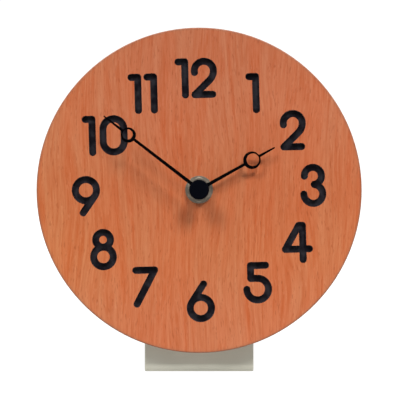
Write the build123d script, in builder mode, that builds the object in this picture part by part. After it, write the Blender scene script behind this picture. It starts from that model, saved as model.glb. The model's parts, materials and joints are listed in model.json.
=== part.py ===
from build123d import *
import math
import os

os.makedirs("parts", exist_ok=True)

# Wooden desk clock: a round dial board leaning back on a bent sheet stand, with a battery movement behind.
# The face looks to -Y and +Z is up. The origin is the middle of the stand's flat underside.

# Dial board
disc_diameter = 160.0
disc_thickness = 10.0
disc_edge_round = 0.6
board_drop = 0.3
lean = 8.0
dial_turn = 1.5

# Numerals: black lacquered grooves, cut with a round cutter
figure_gap = 7.6
stroke_share = 0.2147
groove_depth = 2.0
lacquer_wall = 0.2
lacquer_floor = 0.3
numeral_inset = 25.2

# Stand of bent sheet
sheet = 1.5
stand_width = 54.0
bend_radius = 4.0
foot_flat = 50.0
board_clearance = 6.1
leg_over_hub = 26.0
stand_corner = 6.0
sheet_edge_round = 0.45

# Centre fixing
bush_wall = 1.4
bush_hole_gap = 0.3
bush_proud = 0.4
bush_flange = 0.6
bush_flange_rim = 1.2
washer_rim = 2.8
washer_thickness = 0.5
washer_chamfer = 0.15
nut_wall = 1.6
nut_height = 2.0
nut_cone_angle = 60.0
nut_turn = 30.0
cushion_side = 30.0
cushion_thickness = 1.0
cushion_corner = 3.0

# Fits
running_fit = 0.05
axial_gap = 0.15
overrun = 1.0

# Hands
hand_sheet = 0.4
hour_bearing = 60.9
hour_reach = 42.4
hour_ring_middle = 29.6
hour_ring_radius = 4.3
hour_boss_rim = 1.6
hour_collet_wall = 0.75
hour_collet_length = 1.0
hour_hand_gap = 0.4
minute_bearing = 307.6
minute_reach = 58.6
minute_ring_middle = 43.45
minute_ring_radius = 3.7
hand_ring_width = 1.2
hand_hole_shift = 0.5
hand_root_width = 1.8
hand_neck_width = 1.35
hand_tip_width = 0.7
hand_gap = 5.1
cap_radius = 4.75
cap_overhang = 0.45
cap_crown = 0.5
cap_round = 0.4
cap_bore_room = 0.1

# Arbors and pipes on the hands' axis, each turning inside the next
second_arbor_radius = 0.5
second_arbor_reach = 10.0
journal_wall = 0.4
minute_tube_wall = 1.2
hour_pipe_wall = 0.75
stud_step = 0.65
stud_in_cap = 1.0
shoulder_rim = 1.45
shoulder_thickness = 0.3

# Movement case
case_corner = 3.0
case_edge_round = 0.5
front_wall = 1.2
side_wall = 1.3
partition_wall = 1.0
cover_thickness = 1.2
cover_gap = 0.1
cover_recess = 0.4
cover_recess_rim = 1.6
rest_post_radius = 1.6
hook_width = 6.0
hook_depth = 1.2
hook_reach = 0.8
hook_tongue = 1.0
hook_setback = 4.2

# Wheels of the movement: thickness and the room between layers
wheel_thickness = 0.5
layer_gap = 0.6
pinion_overlap = 0.15
plate_thickness = 0.8
plate_edge = 2.0
plate_corner = 2.0
pillar_radius = 1.5
pillar_pin_radius = 0.7
pillar_gap = 0.9
pin_head_radius = 1.2
pin_head = 0.4

# Motion work: from the minute arbor to the hour pipe, and to the setting arbor
minute_module = 0.25
minute_pinion_teeth = 12
motion_wheel_teeth = 36
motion_pinion_teeth = 10
hour_wheel_teeth = 40
motion_bearing = 150.0
setting_bearing = 120.0
setting_pinion_teeth = 12
post_radius = 0.5
setting_arbor_radius = 1.0
setting_pivot_radius = 0.6
knob_radius = 6.0
knob_length = 3.2
knob_stand_off = 0.4
knob_flutes = 24
knob_flute_radius = 0.45
knob_dish = 0.6
knob_rim = 1.4

# Going train: from the motor's rotor to the wheel that drives the hands
third_module = 0.18
second_pinion_teeth = 8
third_wheel_teeth = 60
third_pinion_teeth = 8
centre_wheel_teeth = 64
second_module = 0.18
second_wheel_teeth = 50
intermediate_pinion_teeth = 10
rotor_module = 0.15
intermediate_wheel_teeth = 60
rotor_pinion_teeth = 10
third_bearing = 20.0
intermediate_bearing = 90.0
rotor_bearing = 90.0
arbor_radius = 0.4
pivot_depth = 0.6
spring_thickness = 0.2
spring_ring_radius = 1.5
spring_reach = 3.6
spring_arm_width = 0.7

# Motor and circuit
magnet_radius = 2.0
magnet_length = 1.5
magnet_air = 0.4
stator_ring = 1.4
stator_coil_gap = 3.15
stator_thickness = 0.8
stator_arm = 3.0
stator_neck = 0.7
stator_neck_gap = 0.6
core_width = 3.0
core_thickness = 1.0
core_play = 0.05
coil_end_room = 1.0
coil_top_room = 2.7
bobbin_length = 19.0
bobbin_wall = 0.3
bobbin_flange = 0.8
bobbin_room = 0.6
winding_inset = 0.4
board_thickness = 0.8
board_post_height = 3.3
board_strip = 3.8
board_wheel_gap = 1.29
board_tab_top = 13.0
board_post_radius = 1.5
board_pin_radius = 0.6
chip_side = 5.0
chip_height = 1.0
chip_round = 0.4
crystal_radius = 1.0
crystal_length = 6.0
crystal_lead_radius = 0.2
crystal_lead_spread = 0.5
crystal_lead_length = 1.5

# Battery and its contacts
battery_radius = 7.1
battery_length = 50.5
battery_round = 0.7
battery_play = 0.4
battery_set_in = 0.2
battery_end_room = 1.45
nub_radius = 2.75
nub_length = 1.0
nub_round = 0.3
contact_sheet = 0.3
contact_width = 8.0
contact_height = 11.0
contact_tail = 3.0
contact_foot = 3.0
contact_play = 0.05
tongue_width = 5.0
tongue_span = 10.0
tongue_flat_share = 0.3


# Directions and planes
lean_sin = math.sin(math.radians(lean))
lean_cos = math.cos(math.radians(lean))
forward = Vector(0, -lean_cos, lean_sin)
leg_up = Vector(0, lean_sin, lean_cos)

bend_y = -foot_flat / 2
leg_start = Vector(0, bend_y, bend_radius) + forward * bend_radius
hub_height = disc_diameter / 2 + board_drop + board_clearance
dial_centre = leg_start + leg_up * hub_height + forward * disc_thickness
forward_axis = Axis(dial_centre, forward)


def turned(origin, turn):
    """Plane facing forward, turned anticlockwise about its own normal by a number of degrees"""
    turn_cos = math.cos(math.radians(turn))
    turn_sin = math.sin(math.radians(turn))
    return Plane(origin=origin, x_dir=Vector(turn_cos, 0) + leg_up * turn_sin, z_dir=forward)


dial = turned(dial_centre, 0)
turned_dial = turned(dial_centre, dial_turn)


def across(axis, depth):
    """Plane across an arbor, as far behind the dial's face as depth says"""
    return turned(dial.from_local_coords(Vector(axis.X, axis.Y, -depth)), 0)


def sideways(start, height, depth):
    """Plane facing right, with its origin at a place behind the dial's face"""
    return Plane(
        origin=dial.from_local_coords(Vector(start, height, -depth)), x_dir=leg_up, z_dir=(1, 0, 0)
    )


def polar(distance, bearing):
    """Offset across the dial at a bearing in degrees, anticlockwise from the right"""
    return Vector(distance * math.cos(math.radians(bearing)), distance * math.sin(math.radians(bearing)))


# Pipes on the hands' axis, and what sits on them
minute_bore_radius = second_arbor_radius + running_fit
journal_radius = minute_bore_radius + journal_wall
shoulder_radius = journal_radius + shoulder_rim
minute_tube_radius = minute_bore_radius + minute_tube_wall
stud_radius = minute_tube_radius - stud_step
hour_bore_radius = minute_tube_radius + running_fit
hour_pipe_radius = hour_bore_radius + hour_pipe_wall
bush_bore_radius = hour_pipe_radius + running_fit
bush_radius = bush_bore_radius + bush_wall
bush_hole_radius = bush_radius + bush_hole_gap
bush_flange_radius = bush_radius + bush_flange_rim
nut_bore_radius = bush_radius + running_fit

# Heights in front of the dial's face
bush_front = washer_thickness + nut_height + bush_proud
hour_hand_height = bush_front + hour_hand_gap
hour_pipe_front = hour_hand_height + hand_sheet + hour_collet_length
minute_hand_height = hour_pipe_front + hand_gap
cap_back = minute_hand_height + hand_sheet
cap_bore = stud_in_cap + cap_bore_room

# Depths of the layers behind the dial's face
cushion_depth = disc_thickness + sheet
case_front = cushion_depth + cushion_thickness
inner_front = case_front + front_wall
battery_depth = inner_front + battery_play + battery_radius
case_back = battery_depth + battery_radius + battery_set_in
case_depth = case_back - case_front
cover_depth = case_back - cover_thickness
hour_wheel_depth = inner_front + 2 * axial_gap
motion_depth = hour_wheel_depth + wheel_thickness + layer_gap
shoulder_depth = motion_depth + wheel_thickness + 2 * pinion_overlap
centre_wheel_depth = shoulder_depth + shoulder_thickness + running_fit
spring_depth = centre_wheel_depth + wheel_thickness + running_fit
journal_end = spring_depth + spring_thickness + pinion_overlap
third_wheel_depth = journal_end + layer_gap
middle_plate_depth = third_wheel_depth + wheel_thickness + layer_gap
middle_plate_back = middle_plate_depth + plate_thickness
second_wheel_depth = middle_plate_back + layer_gap
intermediate_wheel_depth = second_wheel_depth + wheel_thickness + layer_gap
bridge_depth = intermediate_wheel_depth + wheel_thickness + layer_gap
bridge_back = bridge_depth + plate_thickness

# Places of the arbors, seen from the front, with the hands' axis at the middle
hands_axis = Vector(0, 0)
motion_distance = minute_module * (minute_pinion_teeth + motion_wheel_teeth) / 2
motion_axis = polar(motion_distance, motion_bearing)
hour_module = 2 * motion_distance / (motion_pinion_teeth + hour_wheel_teeth)
setting_distance = minute_module * (motion_wheel_teeth + setting_pinion_teeth) / 2
setting_axis = motion_axis + polar(setting_distance, setting_bearing)
third_distance = third_module * (second_pinion_teeth + third_wheel_teeth) / 2
third_axis = polar(third_distance, third_bearing)
centre_module = 2 * third_distance / (third_pinion_teeth + centre_wheel_teeth)
intermediate_distance = second_module * (second_wheel_teeth + intermediate_pinion_teeth) / 2
intermediate_axis = polar(intermediate_distance, intermediate_bearing)
rotor_distance = rotor_module * (intermediate_wheel_teeth + rotor_pinion_teeth) / 2
rotor_axis = intermediate_axis + polar(rotor_distance, rotor_bearing)

# Rooms inside the case: the battery sets its width, the coil above and the bay below set its height
inner_half = battery_length / 2 + battery_end_room
case_width = 2 * (inner_half + side_wall)
centre_wheel_tip = centre_module * centre_wheel_teeth / 2 + centre_module
board_strip_top = -centre_wheel_tip - board_wheel_gap
room_low = board_strip_top - board_strip
bay_top = room_low - partition_wall
bay_height = 2 * (battery_radius + battery_play)
bay_low = bay_top - bay_height
bay_middle = bay_top - bay_height / 2
stator_depth = shoulder_depth + shoulder_thickness
stator_hole = magnet_radius + magnet_air
core_depth = stator_depth + stator_thickness
coil_depth = core_depth + core_thickness / 2
bobbin_flange_radius = coil_depth - inner_front - bobbin_room
bobbin_tube_radius = math.hypot(core_width, core_thickness) / 2 + core_play + bobbin_wall
winding_radius = bobbin_flange_radius - winding_inset
stator_half_width = bobbin_length / 2 + coil_end_room + stator_arm
arm_x = stator_half_width - stator_arm / 2
coil_y = rotor_axis.Y + stator_hole + stator_ring + stator_coil_gap + bobbin_flange_radius
stator_pin_places = [Vector(side * arm_x, coil_y) for side in (-1, 1)]
room_top = coil_y + bobbin_flange_radius + coil_top_room
room_height = room_top - room_low
room_middle = (room_top + room_low) / 2
case_height = room_top - bay_low + 2 * side_wall
case_middle = Vector(0, (room_top + bay_low) / 2)
board_depth = inner_front + board_post_height
board_back = board_depth + board_thickness
board_low = room_low + cover_gap
board_middle_y = room_low + board_strip / 2
third_wheel_tip = third_module * third_wheel_teeth / 2 + third_module
pillar_x = third_axis.X + third_wheel_tip + pillar_radius
board_tab_width = inner_half - pillar_x - pillar_radius - pillar_gap
tab_x = board_tab_width / 2 - inner_half
pillar_low = board_strip_top + pillar_gap + pillar_radius
pillar_high = rotor_axis.Y - pillar_gap - pillar_radius
pillar_places = [
    Vector(side * pillar_x, height) for side in (-1, 1) for height in (pillar_low, pillar_high)
]
plate_half_width = pillar_x + plate_edge
plate_low = pillar_low - plate_edge
plate_high = rotor_axis.Y + plate_edge
board_pin_places = [
    Vector(tab_x, board_middle_y),
    Vector(tab_x, board_tab_top - board_post_radius * 2),
    Vector(-tab_x, board_middle_y),
]
rest_post_places = [
    Vector(side * (inner_half - rest_post_radius), room_top - rest_post_radius) for side in (-1, 1)
]

# Numerals on their ring, where the 10 stands half the ring's radius above the 9
numeral_ring_radius = disc_diameter / 2 - numeral_inset
figure_height = numeral_ring_radius / 2 - figure_gap
figure_rise = figure_height / (1 + stroke_share)
stroke = figure_height - figure_rise


# Teeth: corners of one tooth, as shares of the module beyond the pitch circle and of the tooth pitch
wheel_tooth_shares = ((-1.1, -0.58), (0, -0.46), (0.85, -0.22), (0.85, 0.22), (0, 0.46), (-1.1, 0.58))
pinion_tooth_shares = ((-1.2, -0.34), (0, -0.42), (0.75, -0.18), (0.75, 0.18), (0, 0.42), (-1.2, 0.34))


def mesh_phase(phase, teeth, bearing, next_teeth):
    """Phase of the next gear, in degrees, so that its gaps meet the teeth of the one before"""
    tooth_share = (bearing - phase) * teeth / 360
    return bearing + 180 - (0.5 - tooth_share) * 360 / next_teeth


def toothed(axis, depth, length, teeth, module, tooth_shares, phase):
    """Adds a length of gear on an arbor to the open part"""
    corners = []
    for tooth in range(teeth):
        for reach_share, width_share in tooth_shares:
            radius = module * (teeth / 2 + reach_share)
            corners.append(polar(radius, phase + (360 * tooth + 180 * width_share) / teeth))
    with BuildSketch(across(axis, depth)) as section:
        with BuildLine():
            Polyline(*corners, close=True)
        make_face()
    extrude(section.sketch, amount=-length)


def round_length(axis, depth, length, radius, mode=Mode.ADD):
    """Adds or cuts a round length along an arbor in the open part"""
    with BuildSketch(across(axis, depth)) as section:
        Circle(radius)
    extrude(section.sketch, amount=-length, mode=mode)


def block(middle, width, height, depth, length, mode=Mode.ADD, corner=0):
    """Adds or cuts a block square to the dial in the open part"""
    with BuildSketch(across(middle, depth)) as section:
        if corner:
            RectangleRounded(width, height, corner)
        else:
            Rectangle(width, height)
    extrude(section.sketch, amount=-length, mode=mode)


def lengthwise(start, height, depth, length, radius, mode=Mode.ADD):
    """Adds or cuts a round length from left to right in the open part"""
    with BuildSketch(sideways(start, height, depth)) as section:
        Circle(radius)
    extrude(section.sketch, amount=length, mode=mode)


# Centre lines of the figures, standing on the baseline, in shares of the figures' rise
flag_share = 0.2
zero_radius_share = 0.317
two_bowl_share = 0.287
two_side_share = 0.39
two_corner_share = -0.285
two_foot_share = 0.25
two_start = 189.0
three_crown_share = 0.2575
three_bowl_share = 0.2845
three_sweep = 262.0
four_top_share = 1.03
four_bar_share = 0.317
four_stem_share = 0.156
four_apex_share = 0.042
four_corner_share = -0.371
four_end_share = 0.353
five_bowl_share = 0.326
five_top_share = 1.04
five_left_share = -0.2
five_right_share = 0.255
ring_radius_share = 0.32
tail_lean_share = 0.1
six_top_share = 1.043
nine_top_share = 1.003
seven_top_share = 1.018
seven_left_share = -0.271
seven_right_share = 0.295
seven_bottom_share = -0.259
eight_crown_share = 0.2215
eight_bowl_share = 0.296


def at_share(across_share, up_share):
    """Point of a figure's centre line"""
    return Vector(across_share * figure_rise, up_share * figure_rise)


def touch_bearing(centre, radius, point):
    """Bearing from a circle's centre of the place where a straight stroke from point touches it"""
    run = point - centre
    return math.degrees(math.atan2(run.Y, run.X) + math.acos(radius / run.length))


def half_rings(centre, radius):
    """A closed ring as two half turns"""
    with BuildLine() as upper:
        CenterArc(centre, radius, 0, 180)
    with BuildLine() as lower:
        CenterArc(centre, radius, 180, 180)
    return [upper.wire(), lower.wire()]


def ring_and_tail(top_share):
    """A ring on the baseline, with a straight tail that leaves its left side and leans over it"""
    radius = ring_radius_share * figure_rise
    middle = Vector(0, radius)
    tail_top = at_share(tail_lean_share, top_share)
    with BuildLine() as tail:
        Line(tail_top, middle + polar(radius, touch_bearing(middle, radius, tail_top)))
    return half_rings(middle, radius) + [tail.wire()]


zero_top_share = 1 - zero_radius_share
with BuildLine() as zero_left:
    Line(at_share(-zero_radius_share, zero_top_share), at_share(-zero_radius_share, zero_radius_share))
    CenterArc(at_share(0, zero_top_share), zero_radius_share * figure_rise, 90, 90)
    CenterArc(at_share(0, zero_radius_share), zero_radius_share * figure_rise, 180, 90)
with BuildLine() as zero_right:
    Line(at_share(zero_radius_share, zero_top_share), at_share(zero_radius_share, zero_radius_share))
    CenterArc(at_share(0, zero_top_share), zero_radius_share * figure_rise, 0, 90)
    CenterArc(at_share(0, zero_radius_share), zero_radius_share * figure_rise, 270, 90)
with BuildLine() as one_line:
    Polyline(at_share(-flag_share, 1), at_share(0, 1), at_share(0, 0))

two_side_middle = at_share(two_bowl_share - two_side_share, 1 - two_bowl_share)
two_corner = at_share(two_corner_share, 0)
two_touch = touch_bearing(two_side_middle, two_side_share * figure_rise, two_corner)
with BuildLine() as two_line:
    CenterArc(at_share(0, 1 - two_bowl_share), two_bowl_share * figure_rise, two_start, -two_start)
    side_arc = CenterArc(two_side_middle, two_side_share * figure_rise, 0, two_touch)
    Polyline(side_arc @ 1, two_corner, at_share(two_foot_share, 0))

three_crown_middle = at_share(0, 2 * three_bowl_share + three_crown_share)
with BuildLine() as three_crown:
    CenterArc(three_crown_middle, three_crown_share * figure_rise, 180, -three_sweep)
with BuildLine() as three_bowl:
    CenterArc(at_share(0, three_bowl_share), three_bowl_share * figure_rise, 180, three_sweep)
with BuildLine() as four_line:
    Polyline(
        at_share(four_stem_share, four_top_share),
        at_share(four_apex_share, four_top_share),
        at_share(four_corner_share, four_bar_share),
        at_share(four_end_share, four_bar_share),
    )
with BuildLine() as four_stem:
    Line(at_share(four_stem_share, four_top_share), at_share(four_stem_share, 0))
with BuildLine() as five_line:
    Polyline(
        at_share(five_right_share, five_top_share),
        at_share(five_left_share, five_top_share),
        at_share(five_left_share, 2 * five_bowl_share),
        at_share(0, 2 * five_bowl_share),
    )
    CenterArc(at_share(0, five_bowl_share), five_bowl_share * figure_rise, 90, -270)
with BuildLine() as seven_line:
    Polyline(
        at_share(seven_left_share, seven_top_share),
        at_share(seven_right_share, seven_top_share),
        at_share(seven_bottom_share, 0),
    )

# Each figure: its centre lines and how high it stands, as a share of the rise
half_turn = Location(at_share(0, nine_top_share), (0, 0, 180))
nine_lines = [line.moved(half_turn) for line in ring_and_tail(nine_top_share)]
figures = {
    0: ([zero_left.wire(), zero_right.wire()], 1),
    1: ([one_line.wire()], 1),
    2: ([two_line.wire()], 1),
    3: ([three_crown.wire(), three_bowl.wire()], 2 * (three_crown_share + three_bowl_share)),
    4: ([four_line.wire(), four_stem.wire()], four_top_share),
    5: ([five_line.wire()], five_top_share),
    6: (ring_and_tail(six_top_share), six_top_share),
    7: ([seven_line.wire()], seven_top_share),
    8: (
        half_rings(at_share(0, 2 * eight_bowl_share + eight_crown_share), eight_crown_share * figure_rise)
        + half_rings(at_share(0, eight_bowl_share), eight_bowl_share * figure_rise),
        2 * (eight_bowl_share + eight_crown_share),
    ),
    9: (nine_lines, nine_top_share),
}

# Figures of each numeral, with their places across it as shares of the rise
numeral_place_shares = {
    1: ((1, 0.087),),
    2: ((2, 0),),
    3: ((3, 0),),
    4: ((4, 0),),
    5: ((5, 0),),
    6: ((6, 0),),
    7: ((7, 0),),
    8: ((8, 0),),
    9: ((9, 0),),
    10: ((1, -0.386), (0, 0.256)),
    11: ((1, -0.156), (1, 0.323)),
    12: ((1, -0.331), (2, 0.241)),
}

# How far each numeral stands off its even place on the ring, right and up, as shares of the rise
numeral_nudge_shares = {
    1: (0.021, -0.045),
    2: (-0.036, 0.039),
    3: (0.078, 0.039),
    4: (0.015, 0.009),
    5: (0.006, 0.06),
    6: (-0.04, -0.006),
    7: (-0.019, 0.018),
    8: (-0.024, -0.051),
    9: (-0.051, -0.108),
    10: (0.12, 0.024),
    11: (0.073, 0.024),
    12: (-0.005, 0.004),
}


def numeral_plane(hour):
    """Plane on the board's face at the middle of a numeral, upright on the turned board"""
    nudge_share = numeral_nudge_shares[hour]
    bearing = 90 - 360 * hour / len(numeral_place_shares)
    middle = polar(numeral_ring_radius, bearing) + at_share(nudge_share[0], nudge_share[1])
    return turned(turned_dial.from_local_coords(middle), dial_turn)


def numeral_cut(hour, width, depth, mode):
    """Adds or cuts the grooves of one numeral in the open part"""
    with BuildSketch(numeral_plane(hour)) as section:
        for figure, across_share in numeral_place_shares[hour]:
            lines, top_share = figures[figure]
            with Locations(at_share(across_share, -top_share / 2)):
                for line in lines:
                    SlotArc(line, width)
    extrude(section.sketch, amount=-depth, mode=mode)


# Round dial board
with BuildPart() as dial_disc:
    with BuildSketch(dial):
        with Locations((0, -board_drop)):
            Circle(disc_diameter / 2)
    extrude(amount=-disc_thickness)
    fillet(dial_disc.edges().filter_by(GeomType.CIRCLE), disc_edge_round)
    round_length(hands_axis, 0, disc_thickness, bush_hole_radius, Mode.SUBTRACT)
    for hour in numeral_place_shares:
        numeral_cut(hour, stroke, groove_depth, Mode.SUBTRACT)
dial_disc.part.label = "dial_disc"
export_step(dial_disc.part, "parts/dial_disc.step")

# Lacquer in the grooves: a thin floor and thin walls
for hour in numeral_place_shares:
    with BuildPart() as numeral:
        numeral_cut(hour, stroke, groove_depth, Mode.ADD)
        numeral_cut(hour, stroke - 2 * lacquer_wall, groove_depth - lacquer_floor, Mode.SUBTRACT)
    numeral.part.label = f"numeral_{hour:02d}"
    export_step(numeral.part, f"parts/numeral_{hour:02d}.step")

# Stand: a leg behind the board, a bend and a foot to the rear
leg_length = hub_height + leg_over_hub
leg_foot = Vector(bend_y, bend_radius) + polar(bend_radius, 180 - lean)
leg_top = leg_foot + Vector(lean_sin, lean_cos) * leg_length
sheet_step = Vector(lean_cos, -lean_sin) * sheet
foot_end = bend_y + foot_flat
with BuildPart() as stand_bracket:
    with BuildSketch(Plane.YZ):
        with BuildLine():
            Line((foot_end, 0), (bend_y, 0))
            CenterArc((bend_y, bend_radius), bend_radius, 270, -90 - lean)
            Polyline(leg_foot, leg_top, leg_top + sheet_step, leg_foot + sheet_step)
            CenterArc((bend_y, bend_radius), bend_radius - sheet, 180 - lean, 90 + lean)
            Polyline((bend_y, sheet), (foot_end, sheet), (foot_end, 0))
        make_face()
    extrude(amount=stand_width / 2, both=True)
    fillet(stand_bracket.edges().filter_by(forward_axis), stand_corner)
    fillet(stand_bracket.edges().filter_by(Axis.Z).sort_by(Axis.Y)[-2:], stand_corner)
    side_faces = stand_bracket.faces().filter_by(Axis.X)
    fillet(side_faces.edges(), sheet_edge_round)
    round_length(hands_axis, 0, cushion_depth + overrun, bush_hole_radius, Mode.SUBTRACT)
stand_bracket.part.label = "stand_bracket"
export_step(stand_bracket.part, "parts/stand_bracket.step")

# Washer and nut on the face
with BuildPart() as fixing_washer:
    round_length(hands_axis, -washer_thickness, washer_thickness, bush_radius + washer_rim)
    chamfer(fixing_washer.edges().group_by(forward_axis)[-1], washer_chamfer)
    round_length(hands_axis, -washer_thickness, washer_thickness, nut_bore_radius, Mode.SUBTRACT)
fixing_washer.part.label = "fixing_washer"
export_step(fixing_washer.part, "parts/fixing_washer.step")

nut_front = across(hands_axis, -washer_thickness - nut_height)
with BuildPart() as fixing_nut:
    with BuildSketch(nut_front):
        RegularPolygon(bush_radius + nut_wall, 6, major_radius=False, rotation=nut_turn)
    extrude(amount=-nut_height)
    with BuildSketch(nut_front):
        Circle(bush_radius + nut_wall)
    extrude(amount=-nut_height, taper=-nut_cone_angle, mode=Mode.INTERSECT)
    round_length(hands_axis, -washer_thickness - nut_height, nut_height, nut_bore_radius, Mode.SUBTRACT)
fixing_nut.part.label = "fixing_nut"
export_step(fixing_nut.part, "parts/fixing_nut.step")

# Rubber cushion between the stand and the movement
with BuildPart() as rubber_cushion:
    block(hands_axis, cushion_side, cushion_side, cushion_depth, cushion_thickness, corner=cushion_corner)
    round_length(hands_axis, cushion_depth, cushion_thickness, bush_hole_radius, Mode.SUBTRACT)
rubber_cushion.part.label = "rubber_cushion"
export_step(rubber_cushion.part, "parts/rubber_cushion.step")

# Threaded bush, moulded into the case
with BuildPart() as threaded_bush:
    round_length(hands_axis, -bush_front, bush_front + inner_front, bush_radius)
    round_length(hands_axis, inner_front - bush_flange, bush_flange, bush_flange_radius)
    chamfer(threaded_bush.edges().filter_by(GeomType.CIRCLE).group_by(forward_axis)[-1], bush_proud / 2)
    round_length(hands_axis, -bush_front, bush_front + inner_front, bush_bore_radius, Mode.SUBTRACT)
threaded_bush.part.label = "threaded_bush"
export_step(threaded_bush.part, "parts/threaded_bush.step")

# Movement case, open to the rear, with the train room above and the battery bay below
with BuildPart() as front_case:
    block(case_middle, case_width, case_height, case_front, case_depth, corner=case_corner)
    case_ends = front_case.edges().group_by(forward_axis)
    fillet(case_ends[0] + case_ends[-1], case_edge_round)
    block(Vector(0, room_middle), 2 * inner_half, room_height, inner_front, case_depth, Mode.SUBTRACT)
    block(Vector(0, bay_middle), 2 * inner_half, bay_height, inner_front, case_depth, Mode.SUBTRACT)
    block(
        Vector(0, (bay_top + room_low) / 2),
        2 * inner_half,
        partition_wall,
        cover_depth,
        cover_thickness + overrun,
        Mode.SUBTRACT,
    )
    round_length(hands_axis, case_front - overrun, front_wall + 2 * overrun, bush_radius, Mode.SUBTRACT)
    round_length(
        hands_axis, inner_front - bush_flange, bush_flange + overrun, bush_flange_radius, Mode.SUBTRACT
    )
    # Post of the motion wheel
    round_length(
        motion_axis, inner_front, motion_depth + wheel_thickness + pinion_overlap - inner_front, post_radius
    )
    # Pillars of the plates, with pins melted over behind the bridge
    for place in pillar_places:
        round_length(place, inner_front, middle_plate_depth - inner_front, pillar_radius)
        round_length(place, middle_plate_depth, bridge_back - middle_plate_depth, pillar_pin_radius)
        round_length(place, bridge_back, pin_head, pin_head_radius)
    # Posts of the stator and the coil's core
    for place in stator_pin_places:
        round_length(place, inner_front, stator_depth - inner_front, pillar_radius)
        round_length(place, stator_depth, core_depth + core_thickness - stator_depth, pillar_pin_radius)
        round_length(place, core_depth + core_thickness, pin_head, pin_head_radius)
    # Posts of the circuit board
    for place in board_pin_places:
        round_length(place, inner_front, board_post_height, board_post_radius)
        round_length(place, board_depth, board_thickness + pin_head, board_pin_radius)
    # Rests of the rear cover
    for place in rest_post_places:
        round_length(place, inner_front, cover_depth - inner_front, rest_post_radius)
    # Blind bearings in the front wall
    for place, radius in (
        (third_axis, arbor_radius),
        (rotor_axis, arbor_radius),
        (setting_axis, setting_pivot_radius),
    ):
        round_length(place, inner_front - pivot_depth, pivot_depth, radius + running_fit, Mode.SUBTRACT)
    # Windows of the cover's hooks and slots of the contacts
    for side in (-1, 1):
        block(
            Vector(side * (inner_half + side_wall / 2), room_middle),
            side_wall + 2 * cover_gap,
            hook_width + 2 * cover_gap,
            case_back - hook_setback - cover_gap,
            hook_depth + 2 * cover_gap,
            Mode.SUBTRACT,
        )
        block(
            Vector(side * (inner_half - contact_sheet / 2), (bay_top + room_low) / 2),
            contact_sheet,
            partition_wall,
            board_back,
            case_back - board_back,
            Mode.SUBTRACT,
        )
    # The wall under the battery ends at the battery's middle, to leave it open to a finger
    block(
        Vector(0, bay_low - side_wall / 2),
        2 * inner_half,
        side_wall,
        battery_depth,
        case_back - battery_depth,
        Mode.SUBTRACT,
    )
front_case.part.label = "front_case"
export_step(front_case.part, "parts/front_case.step")


# Rear cover over the train room, with a hooked tongue at each side
cover_half = inner_half - cover_gap
cover_top = room_top - cover_gap
with BuildPart() as rear_cover:
    block(
        Vector(0, (cover_top + bay_top) / 2),
        2 * cover_half,
        cover_top - bay_top,
        cover_depth,
        cover_thickness,
    )
    for side in (-1, 1):
        block(
            Vector(side * (cover_half - hook_tongue / 2), room_middle),
            hook_tongue,
            hook_width,
            case_back - hook_setback,
            hook_setback,
        )
        block(
            Vector(side * (cover_half + (hook_reach - hook_tongue) / 2), room_middle),
            hook_tongue + hook_reach,
            hook_width,
            case_back - hook_setback,
            hook_depth,
        )
    round_length(
        setting_axis, cover_depth, cover_thickness, setting_arbor_radius + bush_hole_gap, Mode.SUBTRACT
    )
    # Round seat sunk under the knob
    round_length(
        setting_axis, case_back - cover_recess, cover_recess, knob_radius + cover_recess_rim, Mode.SUBTRACT
    )
rear_cover.part.label = "rear_cover"
export_step(rear_cover.part, "parts/rear_cover.step")


def train_plate(depth, bearings):
    """Adds a plate that sits on the pillars' pins, with a bearing hole for each arbor, to the open part"""
    middle = Vector(0, (plate_high + plate_low) / 2)
    block(middle, 2 * plate_half_width, plate_high - plate_low, depth, plate_thickness, corner=plate_corner)
    for place in pillar_places:
        round_length(place, depth, plate_thickness, pillar_pin_radius + running_fit, Mode.SUBTRACT)
    for place, radius in bearings:
        round_length(place, depth, plate_thickness, radius + running_fit, Mode.SUBTRACT)


# Plates of the train
with BuildPart() as middle_plate:
    train_plate(
        middle_plate_depth,
        (
            (hands_axis, second_arbor_radius),
            (third_axis, arbor_radius),
            (intermediate_axis, arbor_radius),
            (rotor_axis, arbor_radius),
            (setting_axis, setting_arbor_radius),
        ),
    )
    for place in pillar_places:
        round_length(place, middle_plate_back, bridge_depth - middle_plate_back, pillar_radius)
        round_length(
            place,
            middle_plate_back,
            bridge_depth - middle_plate_back,
            pillar_pin_radius + running_fit,
            Mode.SUBTRACT,
        )
middle_plate.part.label = "middle_plate"
export_step(middle_plate.part, "parts/middle_plate.step")

with BuildPart() as train_bridge:
    train_plate(
        bridge_depth,
        (
            (hands_axis, second_arbor_radius),
            (intermediate_axis, arbor_radius),
            (rotor_axis, arbor_radius),
            (setting_axis, setting_arbor_radius),
        ),
    )
train_bridge.part.label = "train_bridge"
export_step(train_bridge.part, "parts/train_bridge.step")

# Phases of the gears, so that every pair meshes
minute_pinion_phase = 0
motion_wheel_phase = mesh_phase(
    minute_pinion_phase, minute_pinion_teeth, motion_bearing, motion_wheel_teeth
)
setting_pinion_phase = mesh_phase(
    motion_wheel_phase, motion_wheel_teeth, setting_bearing, setting_pinion_teeth
)
motion_pinion_phase = 0
hour_wheel_phase = mesh_phase(
    motion_pinion_phase, motion_pinion_teeth, motion_bearing + 180, hour_wheel_teeth
)
second_phase = 0
third_wheel_phase = mesh_phase(second_phase, second_pinion_teeth, third_bearing, third_wheel_teeth)
third_pinion_phase = 0
centre_wheel_phase = mesh_phase(
    third_pinion_phase, third_pinion_teeth, third_bearing + 180, centre_wheel_teeth
)
intermediate_pinion_phase = mesh_phase(
    second_phase, second_wheel_teeth, intermediate_bearing, intermediate_pinion_teeth
)
intermediate_wheel_phase = 0
rotor_pinion_phase = mesh_phase(
    intermediate_wheel_phase, intermediate_wheel_teeth, rotor_bearing, rotor_pinion_teeth
)

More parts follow.
